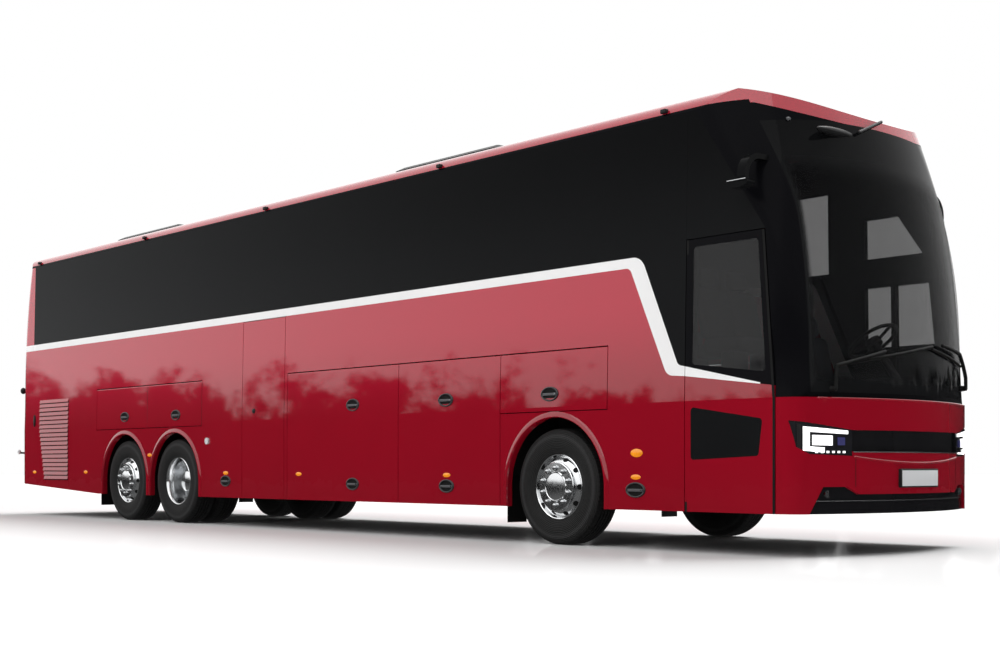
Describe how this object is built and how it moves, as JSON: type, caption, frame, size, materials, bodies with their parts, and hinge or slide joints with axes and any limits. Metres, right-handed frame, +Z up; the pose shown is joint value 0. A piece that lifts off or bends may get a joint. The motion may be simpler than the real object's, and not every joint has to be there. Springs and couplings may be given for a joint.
{
  "type": "three-axle high-deck touring coach",
  "caption": "Red high-deck touring coach with a black glass band, a white waist stripe, plug doors, luggage flaps, steered front wheels and camera arms in place of mirrors",
  "frame": {"origin": "centre of the overall box at ground level", "axes": "+X forward, +Y to the left, +Z up"},
  "size_m": [14.235, 2.8664, 3.8618],
  "materials": {
    "body_red": "gloss",
    "stripe_white": "gloss",
    "frame_black": "gloss",
    "trim_black": "satin",
    "under_black": "matte",
    "floor_grey": "matte",
    "dark_glass": "gloss",
    "clear_glass": "gloss",
    "lamp_clear": "gloss",
    "lamp_red": "gloss",
    "wheel_alloy": "polished",
    "tyre": "matte",
    "rubber": "matte",
    "engine_iron": "matte",
    "seat_fabric": "matte"
  },
  "bodies": {
    "coach": {"deck_floor": "floor_grey", "stairs": "floor_grey", "underfloor": "under_black", "bulkheads": "under_black", "wheel_housings": "under_black", "skirt_front": "body_red", "skirt_rear": "body_red", "side_rails": "body_red", "waist_rails": "stripe_white", "window_frames": "frame_black", "side_glass": "dark_glass", "roof": "body_red", "roof_units": "frame_black", "front_panel": "body_red", "front_trim": "trim_black", "head_lamps": "lamp_clear", "windscreen": "clear_glass", "windscreen_frame": "frame_black", "rear_panel": "body_red", "rear_glass": "dark_glass", "tail_lamps": "lamp_red", "mudflaps": "rubber", "engine": "engine_iron", "front_axle": "under_black", "drive_axle": "under_black", "tag_axle": "under_black", "air_springs": "rubber", "dashboard": "trim_black", "seats": "seat_fabric", "mirror_cameras": "trim_black"},
    "front_door_arm": {"front_door_arm": "under_black"},
    "front_door": {"front_door": "body_red", "front_door_glass": "dark_glass"},
    "mid_door_arm": {"mid_door_arm": "under_black"},
    "mid_door": {"mid_door": "body_red"},
    "engine_lid": {"engine_lid": "body_red"},
    "knuckle_right": {"knuckle_right": "under_black"},
    "knuckle_left": {"knuckle_left": "under_black"},
    "bay_flap_rear_right": {"bay_flap_rear_right": "body_red"},
    "bay_flap_front_right": {"bay_flap_front_right": "body_red"},
    "bay_flap_rear_left": {"bay_flap_rear_left": "body_red"},
    "bay_flap_front_left": {"bay_flap_front_left": "body_red"},
    "front_locker_right": {"front_locker_right": "body_red"},
    "front_locker_left": {"front_locker_left": "body_red"},
    "rear_locker_right": {"rear_locker_right": "body_red"},
    "rear_locker_left": {"rear_locker_left": "body_red"},
    "wheel_front_right": {"rim_front_right": "wheel_alloy", "tyre_front_right": "tyre"},
    "wheel_front_left": {"rim_front_left": "wheel_alloy", "tyre_front_left": "tyre"},
    "wheel_drive_right": {"rim_drive_right": "wheel_alloy", "tyre_drive_right": "tyre"},
    "wheel_drive_left": {"rim_drive_left": "wheel_alloy", "tyre_drive_left": "tyre"},
    "wheel_tag_right": {"rim_tag_right": "wheel_alloy", "tyre_tag_right": "tyre"},
    "wheel_tag_left": {"rim_tag_left": "wheel_alloy", "tyre_tag_left": "tyre"}
  },
  "joints": [
    {"name": "steer_right", "type": "hinge", "parent": "coach", "child": "knuckle_right", "pos_m": [4.2285, -0.85, 0.522], "axis": [0, 0, 1], "range_deg": [-45, 45]},
    {"name": "steer_left", "type": "hinge", "parent": "coach", "child": "knuckle_left", "pos_m": [4.2285, 0.85, 0.522], "axis": [0, 0, 1], "range_deg": [-45, 45]},
    {"name": "spin_front_right", "type": "hinge", "parent": "knuckle_right", "child": "wheel_front_right", "pos_m": [4.2285, -1.0975, 0.522], "axis": [0, 1, 0], "continuous": true},
    {"name": "spin_front_left", "type": "hinge", "parent": "knuckle_left", "child": "wheel_front_left", "pos_m": [4.2285, 1.0975, 0.522], "axis": [0, 1, 0], "continuous": true},
    {"name": "spin_drive_right", "type": "hinge", "parent": "coach", "child": "wheel_drive_right", "pos_m": [-2.5355, -1.0975, 0.522], "axis": [0, 1, 0], "continuous": true},
    {"name": "spin_drive_left", "type": "hinge", "parent": "coach", "child": "wheel_drive_left", "pos_m": [-2.5355, 1.0975, 0.522], "axis": [0, 1, 0], "continuous": true},
    {"name": "spin_tag_right", "type": "hinge", "parent": "coach", "child": "wheel_tag_right", "pos_m": [-3.8355, -1.0975, 0.522], "axis": [0, 1, 0], "continuous": true},
    {"name": "spin_tag_left", "type": "hinge", "parent": "coach", "child": "wheel_tag_left", "pos_m": [-3.8355, 1.0975, 0.522], "axis": [0, 1, 0], "continuous": true},
    {"name": "front_door_swing", "type": "hinge", "parent": "coach", "child": "front_door_arm", "pos_m": [6.4625, -1.12, 0.9], "axis": [0, 0, -1], "range_deg": [-130, 0]},
    {"name": "front_door_level", "type": "hinge", "parent": "front_door_arm", "child": "front_door", "pos_m": [6.0025, -1.12, 0.9], "axis": [0, 0, -1], "range_deg": [0, 130]},
    {"name": "mid_door_swing", "type": "hinge", "parent": "coach", "child": "mid_door_arm", "pos_m": [-0.2895, -1.12, 0.9], "axis": [0, 0, -1], "range_deg": [-130, 0]},
    {"name": "mid_door_level", "type": "hinge", "parent": "mid_door_arm", "child": "mid_door", "pos_m": [-0.7495, -1.12, 0.9], "axis": [0, 0, -1], "range_deg": [0, 130]},
    {"name": "bay_flap_rear_right_hinge", "type": "hinge", "parent": "coach", "child": "bay_flap_rear_right", "pos_m": [0, -1.25264, 1.725], "axis": [-1, 0, 0], "range_deg": [0, 85]},
    {"name": "bay_flap_front_right_hinge", "type": "hinge", "parent": "coach", "child": "bay_flap_front_right", "pos_m": [0, -1.25264, 1.725], "axis": [-1, 0, 0], "range_deg": [0, 85]},
    {"name": "bay_flap_rear_left_hinge", "type": "hinge", "parent": "coach", "child": "bay_flap_rear_left", "pos_m": [0, 1.25264, 1.725], "axis": [1, 0, 0], "range_deg": [0, 85]},
    {"name": "bay_flap_front_left_hinge", "type": "hinge", "parent": "coach", "child": "bay_flap_front_left", "pos_m": [0, 1.25264, 1.725], "axis": [1, 0, 0], "range_deg": [0, 85]},
    {"name": "front_locker_right_hinge", "type": "hinge", "parent": "coach", "child": "front_locker_right", "pos_m": [0, -1.25264, 1.725], "axis": [-1, 0, 0], "range_deg": [0, 85]},
    {"name": "front_locker_left_hinge", "type": "hinge", "parent": "coach", "child": "front_locker_left", "pos_m": [0, 1.25264, 1.725], "axis": [1, 0, 0], "range_deg": [0, 85]},
    {"name": "rear_locker_right_hinge", "type": "hinge", "parent": "coach", "child": "rear_locker_right", "pos_m": [0, -1.25264, 1.725], "axis": [-1, 0, 0], "range_deg": [0, 85]},
    {"name": "rear_locker_left_hinge", "type": "hinge", "parent": "coach", "child": "rear_locker_left", "pos_m": [0, 1.25264, 1.725], "axis": [1, 0, 0], "range_deg": [0, 85]},
    {"name": "engine_lid_hinge", "type": "hinge", "parent": "coach", "child": "engine_lid", "pos_m": [-7.1055, 0, 1.725], "axis": [0, 1, 0], "range_deg": [0, 85]}
  ],
  "couplings": [
    {"joint": "steer_left", "follows": "steer_right", "ratio": 1},
    {"joint": "front_door_level", "follows": "front_door_swing", "ratio": -1},
    {"joint": "mid_door_level", "follows": "mid_door_swing", "ratio": -1}
  ]
}
